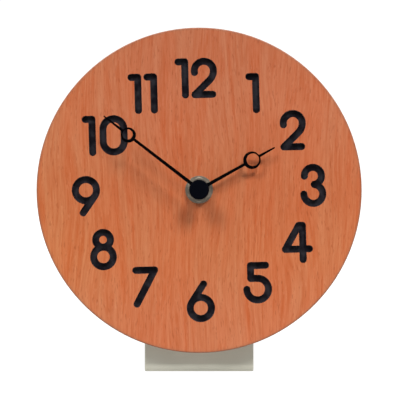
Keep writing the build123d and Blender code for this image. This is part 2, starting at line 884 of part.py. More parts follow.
# Hour wheel with its pipe
pinion_length = wheel_thickness + 2 * pinion_overlap
with BuildPart() as hour_wheel:
    toothed(
        hands_axis,
        hour_wheel_depth,
        wheel_thickness,
        hour_wheel_teeth,
        hour_module,
        wheel_tooth_shares,
        hour_wheel_phase,
    )
    round_length(hands_axis, -hour_pipe_front, hour_pipe_front + hour_wheel_depth, hour_pipe_radius)
    round_length(
        hands_axis,
        -hour_pipe_front,
        hour_pipe_front + hour_wheel_depth + wheel_thickness,
        hour_bore_radius,
        Mode.SUBTRACT,
    )
hour_wheel.part.label = "hour_wheel"
export_step(hour_wheel.part, "parts/hour_wheel.step")

# Minute arbor: stud, tube, pinion, shoulder and the journal of the centre wheel
minute_pinion_depth = motion_depth - pinion_overlap
with BuildPart() as minute_arbor:
    round_length(hands_axis, -cap_back - stud_in_cap, stud_in_cap + hand_sheet, stud_radius)
    tube_length = minute_hand_height + minute_pinion_depth
    round_length(hands_axis, -minute_hand_height, tube_length, minute_tube_radius)
    toothed(
        hands_axis,
        minute_pinion_depth,
        shoulder_depth - minute_pinion_depth,
        minute_pinion_teeth,
        minute_module,
        pinion_tooth_shares,
        minute_pinion_phase,
    )
    round_length(hands_axis, shoulder_depth, shoulder_thickness, shoulder_radius)
    round_length(
        hands_axis,
        shoulder_depth + shoulder_thickness,
        journal_end - shoulder_depth - shoulder_thickness,
        journal_radius,
    )
    round_length(
        hands_axis,
        journal_end - second_arbor_reach - axial_gap,
        second_arbor_reach + axial_gap,
        minute_bore_radius,
        Mode.SUBTRACT,
    )
minute_arbor.part.label = "minute_arbor"
export_step(minute_arbor.part, "parts/minute_arbor.step")

# Motion wheel and its pinion, turning on a post of the case
motion_pinion_depth = hour_wheel_depth - pinion_overlap
with BuildPart() as motion_wheel:
    toothed(
        motion_axis,
        motion_depth,
        wheel_thickness,
        motion_wheel_teeth,
        minute_module,
        wheel_tooth_shares,
        motion_wheel_phase,
    )
    toothed(
        motion_axis,
        motion_pinion_depth,
        motion_depth - motion_pinion_depth,
        motion_pinion_teeth,
        hour_module,
        pinion_tooth_shares,
        motion_pinion_phase,
    )
    round_length(
        motion_axis,
        motion_pinion_depth,
        motion_depth + wheel_thickness - motion_pinion_depth,
        post_radius + running_fit,
        Mode.SUBTRACT,
    )
motion_wheel.part.label = "motion_wheel"
export_step(motion_wheel.part, "parts/motion_wheel.step")

# Setting arbor and the knob on its rear end
pivot_front = inner_front - pivot_depth + axial_gap
setting_shoulder = inner_front + axial_gap
knob_depth = case_back + knob_stand_off
setting_arbor_length = knob_depth + knob_length / 2 - setting_shoulder
with BuildPart() as setting_arbor:
    round_length(setting_axis, pivot_front, setting_shoulder - pivot_front, setting_pivot_radius)
    round_length(setting_axis, setting_shoulder, setting_arbor_length, setting_arbor_radius)
    toothed(
        setting_axis,
        minute_pinion_depth,
        pinion_length,
        setting_pinion_teeth,
        minute_module,
        pinion_tooth_shares,
        setting_pinion_phase,
    )
setting_arbor.part.label = "setting_arbor"
export_step(setting_arbor.part, "parts/setting_arbor.step")

with BuildPart() as setting_knob:
    with BuildSketch(across(setting_axis, knob_depth)):
        Circle(knob_radius)
        with PolarLocations(knob_radius, knob_flutes):
            Circle(knob_flute_radius, mode=Mode.SUBTRACT)
    extrude(amount=-knob_length)
    round_length(
        setting_axis,
        knob_depth + knob_length - knob_dish,
        knob_dish,
        knob_radius - knob_rim,
        Mode.SUBTRACT,
    )
    round_length(setting_axis, knob_depth, knob_length / 2, setting_arbor_radius, Mode.SUBTRACT)
setting_knob.part.label = "setting_knob"
export_step(setting_knob.part, "parts/setting_knob.step")

# Wheel that drives the hands through a friction spring
with BuildPart() as centre_wheel:
    toothed(
        hands_axis,
        centre_wheel_depth,
        wheel_thickness,
        centre_wheel_teeth,
        centre_module,
        wheel_tooth_shares,
        centre_wheel_phase,
    )
    round_length(
        hands_axis, centre_wheel_depth, wheel_thickness, journal_radius + running_fit, Mode.SUBTRACT
    )
centre_wheel.part.label = "centre_wheel"
export_step(centre_wheel.part, "parts/centre_wheel.step")

with BuildPart() as clutch_spring:
    with BuildSketch(across(hands_axis, spring_depth)):
        Circle(spring_ring_radius)
        with PolarLocations(spring_reach / 2, 3):
            Rectangle(spring_reach, spring_arm_width)
        Circle(journal_radius, mode=Mode.SUBTRACT)
    extrude(amount=-spring_thickness)
clutch_spring.part.label = "clutch_spring"
export_step(clutch_spring.part, "parts/clutch_spring.step")

# Third wheel and its pinion
third_pinion_depth = centre_wheel_depth - pinion_overlap
with BuildPart() as third_wheel:
    toothed(
        third_axis,
        third_wheel_depth,
        wheel_thickness,
        third_wheel_teeth,
        third_module,
        wheel_tooth_shares,
        third_wheel_phase,
    )
    toothed(
        third_axis,
        third_pinion_depth,
        third_wheel_depth - third_pinion_depth,
        third_pinion_teeth,
        centre_module,
        pinion_tooth_shares,
        third_pinion_phase,
    )
    round_length(third_axis, pivot_front, middle_plate_back - pivot_front, arbor_radius)
third_wheel.part.label = "third_wheel"
export_step(third_wheel.part, "parts/third_wheel.step")

# Second wheel, turning once a minute, with its arbor inside the minute tube
rear_pivot_end = bridge_back - axial_gap
second_arbor_front = journal_end - second_arbor_reach
with BuildPart() as second_wheel:
    toothed(
        hands_axis,
        second_wheel_depth,
        wheel_thickness,
        second_wheel_teeth,
        second_module,
        wheel_tooth_shares,
        second_phase,
    )
    toothed(
        hands_axis,
        third_wheel_depth - pinion_overlap,
        pinion_length,
        second_pinion_teeth,
        third_module,
        pinion_tooth_shares,
        second_phase,
    )
    round_length(hands_axis, second_arbor_front, rear_pivot_end - second_arbor_front, second_arbor_radius)
second_wheel.part.label = "second_wheel"
export_step(second_wheel.part, "parts/second_wheel.step")

# Intermediate wheel and its pinion
intermediate_pinion_depth = second_wheel_depth - pinion_overlap
intermediate_front = middle_plate_depth - axial_gap
with BuildPart() as intermediate_wheel:
    toothed(
        intermediate_axis,
        intermediate_wheel_depth,
        wheel_thickness,
        intermediate_wheel_teeth,
        rotor_module,
        wheel_tooth_shares,
        intermediate_wheel_phase,
    )
    toothed(
        intermediate_axis,
        intermediate_pinion_depth,
        intermediate_wheel_depth - intermediate_pinion_depth,
        intermediate_pinion_teeth,
        second_module,
        pinion_tooth_shares,
        intermediate_pinion_phase,
    )
    round_length(intermediate_axis, intermediate_front, rear_pivot_end - intermediate_front, arbor_radius)
intermediate_wheel.part.label = "intermediate_wheel"
export_step(intermediate_wheel.part, "parts/intermediate_wheel.step")

# Rotor of the motor: shaft with its pinion, and the magnet on it
with BuildPart() as rotor_pinion:
    toothed(
        rotor_axis,
        intermediate_wheel_depth - pinion_overlap,
        pinion_length,
        rotor_pinion_teeth,
        rotor_module,
        pinion_tooth_shares,
        rotor_pinion_phase,
    )
    round_length(rotor_axis, pivot_front, rear_pivot_end - pivot_front, arbor_radius)
rotor_pinion.part.label = "rotor_pinion"
export_step(rotor_pinion.part, "parts/rotor_pinion.step")

magnet_depth = stator_depth + (stator_thickness - magnet_length) / 2
with BuildPart() as rotor_magnet:
    round_length(rotor_axis, magnet_depth, magnet_length, magnet_radius)
    round_length(rotor_axis, magnet_depth, magnet_length, arbor_radius, Mode.SUBTRACT)
rotor_magnet.part.label = "rotor_magnet"
export_step(rotor_magnet.part, "parts/rotor_magnet.step")

# Stator plate, round the magnet and up to the coil
arm_rise = coil_y + stator_arm / 2 - rotor_axis.Y
with BuildPart() as stator:
    with BuildSketch(across(hands_axis, stator_depth)):
        with Locations(rotor_axis):
            Circle(stator_hole + stator_ring)
        with Locations(rotor_axis + Vector(0, stator_arm / 2)):
            Rectangle(2 * stator_half_width, stator_arm)
        for side in (-1, 1):
            with Locations((side * arm_x, rotor_axis.Y + arm_rise / 2)):
                Rectangle(stator_arm, arm_rise)
        with Locations(rotor_axis):
            Circle(stator_hole, mode=Mode.SUBTRACT)
            neck_gap_height = 2 * (stator_hole + stator_ring - stator_neck)
            Rectangle(stator_neck_gap, neck_gap_height, mode=Mode.SUBTRACT)
        with Locations(*stator_pin_places):
            Circle(pillar_pin_radius + running_fit, mode=Mode.SUBTRACT)
    extrude(amount=-stator_thickness)
stator.part.label = "stator"
export_step(stator.part, "parts/stator.step")

# Coil: core, bobbin and winding
with BuildPart() as coil_core:
    block(Vector(0, coil_y), 2 * stator_half_width, core_width, core_depth, core_thickness)
    for place in stator_pin_places:
        round_length(place, core_depth, core_thickness, pillar_pin_radius + running_fit, Mode.SUBTRACT)
coil_core.part.label = "coil_core"
export_step(coil_core.part, "parts/coil_core.step")

bobbin_half = bobbin_length / 2
with BuildPart() as coil_bobbin:
    lengthwise(-bobbin_half, coil_y, coil_depth, bobbin_length, bobbin_tube_radius)
    for start in (-bobbin_half, bobbin_half - bobbin_flange):
        lengthwise(start, coil_y, coil_depth, bobbin_flange, bobbin_flange_radius)
    block(
        Vector(0, coil_y),
        bobbin_length,
        core_width + 2 * core_play,
        core_depth - core_play,
        core_thickness + 2 * core_play,
        Mode.SUBTRACT,
    )
coil_bobbin.part.label = "coil_bobbin"
export_step(coil_bobbin.part, "parts/coil_bobbin.step")

winding_half = bobbin_half - bobbin_flange
with BuildPart() as coil_winding:
    lengthwise(-winding_half, coil_y, coil_depth, 2 * winding_half, winding_radius)
    lengthwise(-winding_half, coil_y, coil_depth, 2 * winding_half, bobbin_tube_radius, Mode.SUBTRACT)
coil_winding.part.label = "coil_winding"
export_step(coil_winding.part, "parts/coil_winding.step")

# Circuit board: a strip along the partition and a tab beside the train
board_half = inner_half - contact_sheet - cover_gap
with BuildPart() as circuit_board:
    with BuildSketch(across(hands_axis, board_depth)):
        with BuildLine():
            Polyline(
                (-board_half, board_low),
                (board_half, board_low),
                (board_half, board_strip_top),
                (board_tab_width - inner_half, board_strip_top),
                (board_tab_width - inner_half, board_tab_top),
                (-board_half, board_tab_top),
                close=True,
            )
        make_face()
        with Locations(*board_pin_places):
            Circle(board_pin_radius + running_fit, mode=Mode.SUBTRACT)
    extrude(amount=-board_thickness)
circuit_board.part.label = "circuit_board"
export_step(circuit_board.part, "parts/circuit_board.step")

with BuildPart() as chip:
    block(Vector(tab_x, (board_tab_top + room_low) / 2), chip_side, chip_side, board_back, chip_height)
    fillet(chip.edges().filter_by(forward_axis), chip_round)
    fillet(chip.faces().sort_by(forward_axis)[0].edges(), chip_round)
chip.part.label = "chip"
export_step(chip.part, "parts/chip.step")

crystal_depth = board_back + crystal_radius
lead_x = -crystal_length / 2 - crystal_lead_length
with BuildPart() as quartz_crystal:
    lengthwise(-crystal_length / 2, board_middle_y, crystal_depth, crystal_length, crystal_radius)
    for side in (-1, 1):
        lead_y = board_middle_y + side * crystal_lead_spread
        lengthwise(lead_x, lead_y, crystal_depth, crystal_lead_length, crystal_lead_radius)
        round_length(Vector(lead_x, lead_y), board_back, crystal_radius, crystal_lead_radius)
quartz_crystal.part.label = "quartz_crystal"
export_step(quartz_crystal.part, "parts/quartz_crystal.step")

# Battery, lying across the bay
with BuildPart() as battery:
    lengthwise(-battery_length / 2, bay_middle, battery_depth, battery_length - nub_length, battery_radius)
    fillet(battery.edges().filter_by(GeomType.CIRCLE), battery_round)
    lengthwise(battery_length / 2 - nub_length, bay_middle, battery_depth, nub_length, nub_radius)
    fillet(battery.edges().group_by(Axis.X)[-1], nub_round)
battery.part.label = "battery"
export_step(battery.part, "parts/battery.step")


def contact_leaf(side):
    """Adds the contact at one end of the bay: strip, tail, soldered foot and bowed tongue"""
    strip_x = side * (inner_half - contact_sheet / 2)
    strip_front = battery_depth - contact_width / 2
    block(Vector(strip_x, bay_middle), contact_sheet, contact_height, strip_front, contact_width)
    block(
        Vector(strip_x, (bay_middle + board_strip_top) / 2),
        contact_sheet,
        board_strip_top - bay_middle,
        board_back,
        contact_tail,
    )
    block(
        Vector(side * (inner_half - contact_foot / 2), (board_low + board_strip_top) / 2),
        contact_foot,
        board_strip_top - board_low,
        board_back,
        contact_sheet,
    )
    strip_face = inner_half - contact_sheet
    touch = battery_length / 2 + contact_play
    rise = tongue_span / 2
    flat = tongue_flat_share * rise
    back = rise - contact_sheet * (rise - flat) / (strip_face - touch)
    with BuildSketch(across(Vector(0, bay_middle), battery_depth - tongue_width / 2)) as section:
        with BuildLine():
            Polyline(
                (side * strip_face, rise),
                (side * touch, flat),
                (side * touch, -flat),
                (side * strip_face, -rise),
                (side * strip_face, -back),
                (side * (touch + contact_sheet), -flat),
                (side * (touch + contact_sheet), flat),
                (side * strip_face, back),
                close=True,
            )
        make_face()
    extrude(section.sketch, amount=-tongue_width)


with BuildPart() as positive_contact:
    contact_leaf(1)
positive_contact.part.label = "positive_contact"
export_step(positive_contact.part, "parts/positive_contact.step")

with BuildPart() as negative_contact:
    contact_leaf(-1)
negative_contact.part.label = "negative_contact"
export_step(negative_contact.part, "parts/negative_contact.step")


def hand_blade(height, bearing, boss_radius, ring_middle, ring_radius, reach):
    """Adds a hand's blade to the open part: boss, tapered shaft, ring with its hole off centre, and tip"""
    shaft_end = ring_middle - ring_radius + hand_ring_width / 2
    tip_start = ring_middle + ring_radius - (hand_ring_width - hand_hole_shift) / 2
    with BuildSketch(turned(dial_centre + forward * height, -bearing)) as section:
        with BuildLine():
            Polyline(
                (-hand_root_width / 2, 0),
                (hand_root_width / 2, 0),
                (hand_neck_width / 2, shaft_end),
                (-hand_neck_width / 2, shaft_end),
                close=True,
            )
        make_face()
        with BuildLine():
            Polyline(
                (-hand_neck_width / 2, tip_start),
                (hand_neck_width / 2, tip_start),
                (hand_tip_width / 2, reach),
                (-hand_tip_width / 2, reach),
                close=True,
            )
        make_face()
        Circle(boss_radius)
        with Locations((0, ring_middle)):
            Circle(ring_radius)
        with Locations((0, ring_middle + hand_hole_shift)):
            Circle(ring_radius - hand_ring_width, mode=Mode.SUBTRACT)
    extrude(section.sketch, amount=hand_sheet)


# Hands and the cap over their middle
hour_collet_radius = hour_pipe_radius + hour_collet_wall
with BuildPart() as hour_hand:
    hand_blade(
        hour_hand_height,
        hour_bearing,
        hour_collet_radius + hour_boss_rim,
        hour_ring_middle,
        hour_ring_radius,
        hour_reach,
    )
    collet_reach = hour_collet_length + hand_sheet
    round_length(hands_axis, -hour_pipe_front, collet_reach, hour_collet_radius)
    round_length(hands_axis, -hour_pipe_front, collet_reach, hour_pipe_radius, Mode.SUBTRACT)
hour_hand.part.label = "hour_hand"
export_step(hour_hand.part, "parts/hour_hand.step")

with BuildPart() as minute_hand:
    hand_blade(
        minute_hand_height,
        minute_bearing,
        cap_radius - cap_overhang,
        minute_ring_middle,
        minute_ring_radius,
        minute_reach,
    )
    round_length(hands_axis, -minute_hand_height - hand_sheet, hand_sheet, stud_radius, Mode.SUBTRACT)
minute_hand.part.label = "minute_hand"
export_step(minute_hand.part, "parts/minute_hand.step")

with BuildPart() as hand_cap:
    round_length(hands_axis, -cap_back - cap_bore - cap_crown, cap_bore + cap_crown, cap_radius)
    fillet(hand_cap.edges().group_by(forward_axis)[-1], cap_round)
    round_length(hands_axis, -cap_back - cap_bore, cap_bore, stud_radius, Mode.SUBTRACT)
hand_cap.part.label = "hand_cap"
export_step(hand_cap.part, "parts/hand_cap.step")
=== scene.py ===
import json
import math

import bpy
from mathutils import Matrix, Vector


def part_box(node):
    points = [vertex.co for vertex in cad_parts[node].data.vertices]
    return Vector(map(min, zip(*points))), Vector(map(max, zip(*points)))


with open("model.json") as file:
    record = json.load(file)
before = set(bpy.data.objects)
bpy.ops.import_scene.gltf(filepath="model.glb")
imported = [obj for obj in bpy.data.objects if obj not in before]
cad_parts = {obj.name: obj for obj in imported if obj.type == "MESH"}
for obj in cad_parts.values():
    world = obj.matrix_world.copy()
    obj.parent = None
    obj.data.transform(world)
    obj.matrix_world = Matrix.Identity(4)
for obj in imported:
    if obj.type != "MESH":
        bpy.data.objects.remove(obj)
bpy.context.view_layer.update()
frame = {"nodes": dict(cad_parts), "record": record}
nodes = frame["nodes"]

# Sizes of the clock, in metres and in turns
MILLIMETRE = 0.001
LEAN = math.radians(8.0)
DIAL_TURN = math.radians(1.5)
BOARD_RADIUS = 0.080
BOARD_THICKNESS = 0.010
BOARD_REACH = BOARD_RADIUS / MILLIMETRE

# Sizes that only the materials use, in millimetres
THREAD_PITCH = 0.75
CELL_HALF = 26.0
INTO_DIAL = Vector((0, math.cos(LEAN), -math.sin(LEAN)))
UP_DIAL = Vector((0, math.sin(LEAN), math.cos(LEAN)))

disc_low, disc_high = (Vector(corner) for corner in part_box("dial_disc"))
board_middle = (disc_low + disc_high) / 2
dial_middle = board_middle - INTO_DIAL * BOARD_THICKNESS / 2

scene = bpy.context.scene
scene.view_settings.view_transform = "Standard"


# Camera: the photograph is 400 pixels wide, and the board is 325 of them
PHOTO_WIDTH = 400
BOARD_PIXELS = 325.5
BOARD_PLACE = (199.12, 190.25)
CAMERA_DISTANCE = 1.0
CAMERA_ELEVATION = math.radians(8.0)
SENSOR = 36.0

pixel = 2 * BOARD_RADIUS / BOARD_PIXELS
toward_camera = Vector((0, -math.cos(CAMERA_ELEVATION), math.sin(CAMERA_ELEVATION)))
camera_up = Vector((0, math.sin(CAMERA_ELEVATION), math.cos(CAMERA_ELEVATION)))
aim = dial_middle.copy()
aim.x += (PHOTO_WIDTH / 2 - BOARD_PLACE[0]) * pixel
aim -= camera_up * (PHOTO_WIDTH / 2 - BOARD_PLACE[1]) * pixel
camera_data = bpy.data.cameras.new("camera")
camera_data.sensor_width = SENSOR
camera_data.lens = SENSOR * CAMERA_DISTANCE / (PHOTO_WIDTH * pixel)
camera_data.clip_start = 0.01
camera = bpy.data.objects.new("camera", camera_data)
scene.collection.objects.link(camera)
camera.location = aim + toward_camera * CAMERA_DISTANCE
camera.rotation_euler = (math.pi / 2 - CAMERA_ELEVATION, 0, 0)
scene.camera = camera


# Light: two soft lamps above, right and left of the dial, and a pale room
AMBIENT = 0.19
FRONT_ROOM = 0.16
BACK_WALL = 1.0


def lamp(name, bearing, off_normal, size, power, distance=4.0):
    """An area lamp aimed at the dial; bearing is clockwise from the top as seen, in degrees"""
    around = math.radians(bearing)
    off = math.radians(off_normal)
    sideways = Vector((1, 0, 0)) * math.sin(around) + UP_DIAL * math.cos(around)
    direction = sideways * math.sin(off) - INTO_DIAL * math.cos(off)
    data = bpy.data.lights.new(name, "AREA")
    data.shape = "DISK"
    data.size = size
    data.energy = power
    made = bpy.data.objects.new(name, data)
    scene.collection.objects.link(made)
    made.location = dial_middle + direction * distance
    made.rotation_euler = (-direction).to_track_quat("-Z", "Y").to_euler()
    return made


lamp("lamp_right", 24, 54, 1.1, 127)
lamp("lamp_left", -31, 56, 1.2, 98)


# Nodes of a material
def add(tree, kind, inputs=None, **settings):
    """Adds a shader node; each input is a value or the output socket of another node"""
    made = tree.nodes.new(kind)
    for name, value in settings.items():
        setattr(made, name, value)
    for key, value in (inputs or {}).items():
        socket = made.inputs[key]
        if isinstance(value, bpy.types.NodeSocket):
            tree.links.new(value, socket)
        else:
            socket.default_value = value
    return made


def paint(red, green, blue):
    """A colour given as it shows on a screen, 0 to 255, as the shader wants it"""
    linear = []
    for value in (red, green, blue):
        share = value / 255
        linear.append(share / 12.92 if share <= 0.04045 else ((share + 0.055) / 1.055) ** 2.4)
    return (*linear, 1.0)


def new_material(name, **values):
    """A material with one Principled shader; the values are set on its own sockets"""
    made = bpy.data.materials.new(name)
    made.use_nodes = True
    shader = made.node_tree.nodes["Principled BSDF"]
    for key, value in values.items():
        shader.inputs[key.replace("_", " ")].default_value = value
    return made, made.node_tree, shader


def place(tree, turn=(0, 0, 0), scale=(1, 1, 1)):
    """Millimetres from the board's middle: x right, y up the dial, z toward the viewer

    The place is then scaled and turned, to draw a pattern out or lay it over.
    """
    coords = add(tree, "ShaderNodeTexCoord")
    upright = add(
        tree,
        "ShaderNodeMapping",
        {
            "Vector": coords.outputs["Object"],
            "Location": board_middle,
            "Rotation": (math.pi / 2 - LEAN, 0, 0),
            "Scale": (MILLIMETRE, MILLIMETRE, MILLIMETRE),
        },
        vector_type="TEXTURE",
    )
    turned = add(
        tree, "ShaderNodeMapping", {"Vector": upright.outputs["Vector"], "Rotation": turn, "Scale": scale}
    )
    return turned.outputs["Vector"]


def noise(tree, vector, scale, detail=2.0, roughness=0.5, distortion=0.0):
    """Noise as one number; scale is features per millimetre"""
    made = add(
        tree,
        "ShaderNodeTexNoise",
        {
            "Vector": vector,
            "Scale": scale,
            "Detail": detail,
            "Roughness": roughness,
            "Distortion": distortion,
        },
    )
    return made.outputs["Fac"]


def ramp(tree, value, stops, interpolation="LINEAR"):
    """A colour ramp; stops are (place, colour or grey)"""
    made = add(tree, "ShaderNodeValToRGB", {"Fac": value})
    made.color_ramp.interpolation = interpolation
    points = made.color_ramp.elements
    while len(points) < len(stops):
        points.new(0.5)
    for point, (at, colour) in zip(points, stops):
        point.position = at
        point.color = colour if isinstance(colour, tuple) else (colour, colour, colour, 1.0)
    return made.outputs["Color"]


def mix(tree, share, first, second, blend="MIX"):
    """Two colours blended; each may be a colour or a socket"""
    made = add(tree, "ShaderNodeMix", data_type="RGBA", blend_type=blend)
    for key, value in ((0, share), (6, first), (7, second)):
        socket = made.inputs[key]
        if isinstance(value, bpy.types.NodeSocket):
            tree.links.new(value, socket)
        else:
            socket.default_value = value
    return made.outputs[2]


def sum_of(tree, first, second, operation="ADD"):
    """Two numbers joined by the operation"""
    made = add(tree, "ShaderNodeMath", {0: first, 1: second}, operation=operation)
    return made.outputs[0]


def from_edge(tree, value, half):
    """A place from -half to half as a number from 0 to 1"""
    return sum_of(tree, sum_of(tree, value, half), 2 * half, "DIVIDE")


def colour_by(tree, shader, value, low, high):
    """Blends the base colour from one colour to another by the value"""
    tree.links.new(mix(tree, value, low, high), shader.inputs["Base Color"])


def roughness_by(tree, shader, value, low, high, start=0.3, end=0.7):
    """Lets the roughness run from low to high as the value runs from start to end"""
    tree.links.new(ramp(tree, value, [(start, low), (end, high)]), shader.inputs["Roughness"])


def bump(tree, shader, height, distance, strength=1.0):
    """Fine relief; distance is its depth in metres"""
    made = add(tree, "ShaderNodeBump", {"Height": height, "Distance": distance, "Strength": strength})
    tree.links.new(made.outputs["Normal"], shader.inputs["Normal"])


# Beech board: grain up the dial that sways a little, in streaks of red and tan, with short dark flecks
beech, tree, shader = new_material("beech", Roughness=0.42, Specular_IOR_Level=0.35)
spot = place(tree)
drawn = add(tree, "ShaderNodeMapping", {"Vector": spot, "Scale": (0.035, 0.012, 0.035)})
sway = noise(tree, drawn.outputs["Vector"], 1.0, 1.0)
sideways = add(tree, "ShaderNodeCombineXYZ", {"X": sum_of(tree, sway, 14.0, "MULTIPLY")})
swayed = add(tree, "ShaderNodeVectorMath", {0: spot, 1: sideways.outputs[0]}, operation="ADD")


def grain(across, along, detail=2.0, roughness=0.5, distortion=0.0):
    """Noise drawn out along the grain; across and along are features per millimetre"""
    drawn = add(
        tree,
        "ShaderNodeMapping",
        {"Vector": swayed.outputs[0], "Rotation": (0, 0, -DIAL_TURN), "Scale": (across, along, across)},
    )
    return noise(tree, drawn.outputs["Vector"], 1.0, detail, roughness, distortion)


def between(value, low, high, first, second):
    """Two colours, blended where the noise runs from low to high"""
    return mix(tree, ramp(tree, value, [(low, 0.0), (high, 1.0)]), first, second)


hue = grain(0.12, 0.012, 2.0, 0.6, 0.3)
streak = grain(0.50, 0.028, 3.0, 0.6, 0.3)
line = grain(1.5, 0.070, 2.0, 0.6, 0.2)
fleck = grain(1.9, 0.28, 1.0, 0.5, 0.2)
glint = grain(1.3, 0.22, 2.0, 0.5, 0.2)
base = between(hue, 0.38, 0.62, paint(206, 108, 60), paint(202, 130, 92))
base = mix(tree, 0.46, base, between(streak, 0.36, 0.64, paint(192, 92, 48), paint(210, 136, 103)))
base = mix(tree, 0.38, base, between(line, 0.36, 0.64, paint(186, 92, 52), paint(212, 136, 103)))
dark = ramp(tree, fleck, [(0.62, 0.0), (0.72, 1.0)])
base = mix(tree, sum_of(tree, dark, 0.42, "MULTIPLY"), base, paint(156, 70, 30))
pale = ramp(tree, glint, [(0.60, 0.0), (0.72, 1.0)])
base = mix(tree, sum_of(tree, pale, 0.26, "MULTIPLY"), base, paint(220, 152, 120))

# Painted light and shade: the board is painted lighter, toward straw, at its foot, darker and redder through
# its middle, and darkest, toward rose, at its top
parts = add(tree, "ShaderNodeSeparateXYZ", {"Vector": spot})
from_foot = from_edge(tree, parts.outputs["Y"], BOARD_REACH)
painted_light_drift = ramp(
    tree,
    from_foot,
    [
        (0.06, (1.00, 0.95, 0.82, 1)),
        (0.30, (0.96, 0.90, 0.70, 1)),
        (0.50, (0.89, 0.78, 0.60, 1)),
        (0.75, (0.88, 0.82, 0.73, 1)),
        (0.95, (0.82, 0.77, 0.70, 1)),
    ],
)
base = mix(tree, 1.0, base, painted_light_drift, "MULTIPLY")

# The tone is a little deeper in the middle than at the sides, and palest on the left
from_left = from_edge(tree, parts.outputs["X"], BOARD_REACH)
deeper = ramp(
    tree,
    from_left,
    [
        (0.08, (0.99, 1.03, 0.99, 1)),
        (0.34, (0.96, 0.94, 0.94, 1)),
        (0.68, (0.96, 0.94, 0.94, 1)),
        (0.92, (0.99, 0.98, 0.98, 1)),
    ],
)
base = mix(tree, 1.0, base, deeper, "MULTIPLY")

# Painted shade: the turned edge is painted darker brown, where its rounding turns away from the light
flat = add(tree, "ShaderNodeCombineXYZ", {"X": parts.outputs["X"], "Y": parts.outputs["Y"]})
reach = add(tree, "ShaderNodeVectorMath", {0: flat.outputs[0]}, operation="LENGTH").outputs["Value"]
from_middle = sum_of(tree, reach, BOARD_REACH, "DIVIDE")
painted_rim_shade = ramp(tree, from_middle, [(0.9825, 0.0), (0.99625, 1.0)])
base = mix(tree, sum_of(tree, painted_rim_shade, 0.45, "MULTIPLY"), base, paint(132, 94, 72))
tree.links.new(base, shader.inputs["Base Color"])
bump(tree, shader, sum_of(tree, line, dark, "SUBTRACT"), 0.00001, 0.5)

# Black lacquer in the grooves: a dull coat with paler patches
groove_lacquer, tree, shader = new_material("groove_lacquer", Specular_IOR_Level=0.08)
patch = noise(tree, place(tree), 0.22, 2.0, 0.5)
skin = noise(tree, place(tree), 2.2, 3.0, 0.6)
coat = mix(tree, ramp(tree, patch, [(0.40, 0.0), (0.60, 1.0)]), paint(20, 18, 24), paint(45, 43, 48))
tree.links.new(coat, shader.inputs["Base Color"])
roughness_by(tree, shader, skin, 0.28, 0.44)
bump(tree, shader, skin, 0.00004, 0.5)

# Satin metal of the stand: fine brushing across it
stand_metal, tree, shader = new_material("stand_metal", Metallic=0.7, Anisotropic=0.3)
brushed = noise(tree, place(tree, scale=(0.05, 6.0, 6.0)), 1.0, 4.0, 0.7)
cloud = noise(tree, place(tree), 0.05, 2.0, 0.5)
colour_by(tree, shader, brushed, paint(201, 199, 185), paint(215, 213, 198))
roughness_by(tree, shader, cloud, 0.58, 0.70)
bump(tree, shader, brushed, 0.00001, 0.4)

# Nickel of the washer, the nut and the contacts
nickel, tree, shader = new_material("nickel", Metallic=1.0)
turning = noise(tree, place(tree), 1.5, 3.0, 0.6)
colour_by(tree, shader, turning, paint(116, 108, 97), paint(142, 133, 120))
roughness_by(tree, shader, turning, 0.60, 0.70)
bump(tree, shader, turning, 0.000005, 0.3)

# Brass of the bush, the minute arbor and the friction spring
brass, tree, shader = new_material("brass", Metallic=1.0)
turning = noise(tree, place(tree, scale=(1, 1, 8)), 1.5, 3.0, 0.6)
colour_by(tree, shader, turning, paint(196, 160, 92), paint(222, 188, 118))
roughness_by(tree, shader, turning, 0.22, 0.36)
bump(tree, shader, turning, 0.00001, 0.4)

# Brass of the bush: duller, with its thread; a wave of bands repeats every pi / 10 over its scale
thread_brass, tree, shader = new_material("thread_brass", Metallic=1.0)
turning = noise(tree, place(tree, scale=(1, 1, 8)), 1.5, 3.0, 0.6)
colour_by(tree, shader, turning, paint(188, 152, 86), paint(216, 182, 112))
roughness_by(tree, shader, turning, 0.26, 0.40)
thread = add(
    tree,
    "ShaderNodeTexWave",
    {"Vector": place(tree), "Scale": math.pi / 10 / THREAD_PITCH},
    wave_type="BANDS",
    bands_direction="Z",
)
bump(tree, shader, thread.outputs["Fac"], 0.0003, 1.0)


def moulded(name, low, high, rough_low, rough_high, scale, depth, gloss=0.5):
    """A moulded plastic, rubber or paint: two close colours, uneven roughness and a fine skin"""
    made, tree, shader = new_material(name, Specular_IOR_Level=gloss)
    cloud = noise(tree, place(tree), 0.08, 2.0, 0.5)
    skin = noise(tree, place(tree), scale, 3.0, 0.6)
    colour_by(tree, shader, cloud, low, high)
    roughness_by(tree, shader, skin, rough_low, rough_high)
    bump(tree, shader, skin, depth, 0.5)
    return made


rubber = moulded("rubber", paint(38, 38, 39), paint(48, 47, 47), 0.70, 0.85, 4.0, 0.00004)
black_plastic = moulded("black_plastic", paint(36, 36, 38), paint(46, 46, 48), 0.42, 0.56, 5.0, 0.00004)
white_plastic = moulded("white_plastic", paint(226, 223, 212), paint(238, 236, 228), 0.30, 0.42, 3.0, 0.00001)
hand_black = moulded("hand_black", paint(1, 1, 2), paint(3, 3, 4), 0.50, 0.65, 6.0, 0.00001, 0.02)
cap_black = moulded("cap_black", paint(1, 2, 7), paint(5, 7, 15), 0.45, 0.55, 3.0, 0.00002, 0.03)
magnet = moulded("magnet", paint(88, 88, 94), paint(106, 106, 110), 0.35, 0.50, 3.0, 0.00001)
chip_black = moulded("chip_black", paint(16, 16, 17), paint(24, 24, 25), 0.12, 0.24, 1.0, 0.00006)

# Stamped iron of the stator and the core
soft_iron, tree, shader = new_material("soft_iron", Metallic=1.0)
rolled = noise(tree, place(tree, scale=(0.2, 4.0, 4.0)), 1.0, 4.0, 0.7)
colour_by(tree, shader, rolled, paint(150, 150, 152), paint(182, 182, 184))
roughness_by(tree, shader, rolled, 0.30, 0.46)
bump(tree, shader, rolled, 0.00001, 0.4)
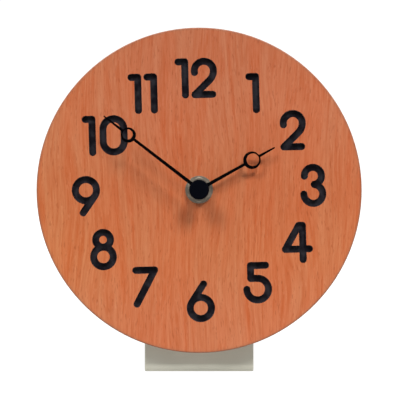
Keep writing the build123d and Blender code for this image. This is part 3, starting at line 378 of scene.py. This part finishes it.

# Copper wire of the winding, turn beside turn, with painted shade darkening the hollows between turns
copper, tree, shader = new_material("copper", Metallic=1.0)
wire_relief_and_shade = add(
    tree,
    "ShaderNodeTexWave",
    {"Vector": place(tree), "Scale": 3.0, "Distortion": 0.4, "Detail": 1.0},
    wave_type="BANDS",
    bands_direction="X",
)
# Painted shade: the copper is painted darker where the relief between turns is lowest
colour_by(tree, shader, wire_relief_and_shade.outputs["Fac"], paint(122, 58, 30), paint(206, 112, 66))
roughness_by(tree, shader, wire_relief_and_shade.outputs["Fac"], 0.36, 0.24, 0.2, 0.8)
bump(tree, shader, wire_relief_and_shade.outputs["Fac"], 0.00006, 0.8)

# Circuit board with its lacquer over the tracks
board, tree, shader = new_material("board")
tracks = add(
    tree,
    "ShaderNodeTexBrick",
    {
        "Vector": place(tree),
        "Color1": paint(34, 84, 46),
        "Color2": paint(40, 96, 54),
        "Mortar": paint(66, 122, 70),
        "Scale": 0.5,
        "Mortar Size": 0.035,
        "Brick Width": 2.2,
        "Row Height": 0.7,
    },
)
mottle = noise(tree, place(tree), 0.6, 3.0, 0.6)
laid = mix(tree, ramp(tree, mottle, [(0.3, 0.0), (0.7, 0.35)]), tracks.outputs["Color"], paint(26, 70, 38))
tree.links.new(laid, shader.inputs["Base Color"])
roughness_by(tree, shader, mottle, 0.26, 0.38)
bump(tree, shader, tracks.outputs["Fac"], 0.00004, 0.6)

# Sleeve of the cell: dark, with a bare metal end band
battery_sleeve, tree, shader = new_material("battery_sleeve")
along = add(tree, "ShaderNodeSeparateXYZ", {"Vector": place(tree)}).outputs["X"]
from_end = from_edge(tree, along, CELL_HALF)
sleeve = ramp(
    tree,
    from_end,
    [
        (0.0, paint(176, 176, 178)),
        (0.028, paint(40, 42, 47)),
        (0.66, paint(168, 100, 52)),
        (0.955, paint(178, 178, 180)),
    ],
    "CONSTANT",
)
film = noise(tree, place(tree, scale=(0.3, 1.5, 1.5)), 1.0, 3.0, 0.6)
sleeve = mix(tree, ramp(tree, film, [(0.35, 0.0), (0.75, 0.30)]), sleeve, paint(96, 92, 92))
tree.links.new(sleeve, shader.inputs["Base Color"])
roughness_by(tree, shader, film, 0.24, 0.38)
bump(tree, shader, film, 0.00002, 0.4)
bare = ramp(tree, from_end, [(0.0, 1.0), (0.028, 0.55), (0.955, 1.0)], "CONSTANT")
tree.links.new(bare, shader.inputs["Metallic"])

# Which material each slot of the record gets
looks = {
    "beech": beech,
    "groove_lacquer": groove_lacquer,
    "stand_metal": stand_metal,
    "nickel": nickel,
    "brass": brass,
    "rubber": rubber,
    "black_plastic": black_plastic,
    "white_plastic": white_plastic,
    "magnet": magnet,
    "soft_iron": soft_iron,
    "copper": copper,
    "board": board,
    "battery_sleeve": battery_sleeve,
    "hand_black": hand_black,
    "cap_black": cap_black,
}
slot_of = {part["node"]: part["material_slot"] for part in frame["record"]["subparts"]}
own_looks = {"chip": chip_black, "threaded_bush": thread_brass}
for name, node in nodes.items():
    look = own_looks.get(name) or looks[slot_of[name]]
    node.data.materials.clear()
    node.data.materials.append(look)


# Room: white to the camera; metal sees it white behind the clock and dimmer in front of it
world = bpy.data.worlds.new("room")
scene.world = world
world.use_nodes = True
tree = world.node_tree
tree.nodes.clear()
rays = add(tree, "ShaderNodeLightPath")
mirrored = sum_of(tree, rays.outputs["Is Glossy Ray"], rays.outputs["Is Transmission Ray"], "MAXIMUM")
direction = add(tree, "ShaderNodeTexCoord").outputs["Generated"]
depth = add(tree, "ShaderNodeSeparateXYZ", {"Vector": direction}).outputs["Y"]
wall = ramp(tree, sum_of(tree, depth, 1.0, "ADD"), [(0.2, FRONT_ROOM), (0.9, BACK_WALL)])
ambient = add(tree, "ShaderNodeBackground", {"Color": (1, 1, 1, 1), "Strength": AMBIENT})
studio = add(tree, "ShaderNodeBackground", {"Color": wall, "Strength": 1.0})
white = add(tree, "ShaderNodeBackground", {"Color": (1, 1, 1, 1), "Strength": 1.0})
either = add(tree, "ShaderNodeMixShader", {0: mirrored, 1: ambient.outputs[0], 2: studio.outputs[0]})
either = add(
    tree, "ShaderNodeMixShader", {0: rays.outputs["Is Camera Ray"], 1: either.outputs[0], 2: white.outputs[0]}
)
add(tree, "ShaderNodeOutputWorld", {"Surface": either.outputs[0]})

# White floor that keeps the clock's shadow, and bounces light as a plain pale table does
FLOOR_HALF = 6.0
floor_mesh = bpy.data.meshes.new("floor")
floor_mesh.from_pydata(
    [(x, y, 0) for x, y in ((-1, -1), (1, -1), (1, 1), (-1, 1))], [], [(0, 1, 2, 3)]
)
floor = bpy.data.objects.new("floor", floor_mesh)
floor.scale = (FLOOR_HALF, FLOOR_HALF, 1)
scene.collection.objects.link(floor)
floor_look = bpy.data.materials.new("floor")
floor_look.use_nodes = True
tree = floor_look.node_tree
tree.nodes.clear()
rays = add(tree, "ShaderNodeLightPath")
mirrored = sum_of(tree, rays.outputs["Is Glossy Ray"], rays.outputs["Is Transmission Ray"], "MAXIMUM")
seen = sum_of(tree, mirrored, rays.outputs["Is Camera Ray"], "MAXIMUM")
table = add(tree, "ShaderNodeBsdfDiffuse", {"Color": (0.32, 0.32, 0.32, 1)})
shade = add(tree, "ShaderNodeBsdfDiffuse", {"Color": (0.22, 0.22, 0.22, 1)})
glow = add(tree, "ShaderNodeEmission", {"Color": (1, 1, 1, 1), "Strength": 0.97})
paper = add(tree, "ShaderNodeAddShader", {0: shade.outputs[0], 1: glow.outputs[0]})
either = add(tree, "ShaderNodeMixShader", {0: seen, 1: table.outputs[0], 2: paper.outputs[0]})
add(tree, "ShaderNodeOutputMaterial", {"Surface": either.outputs[0]})
floor_mesh.materials.append(floor_look)
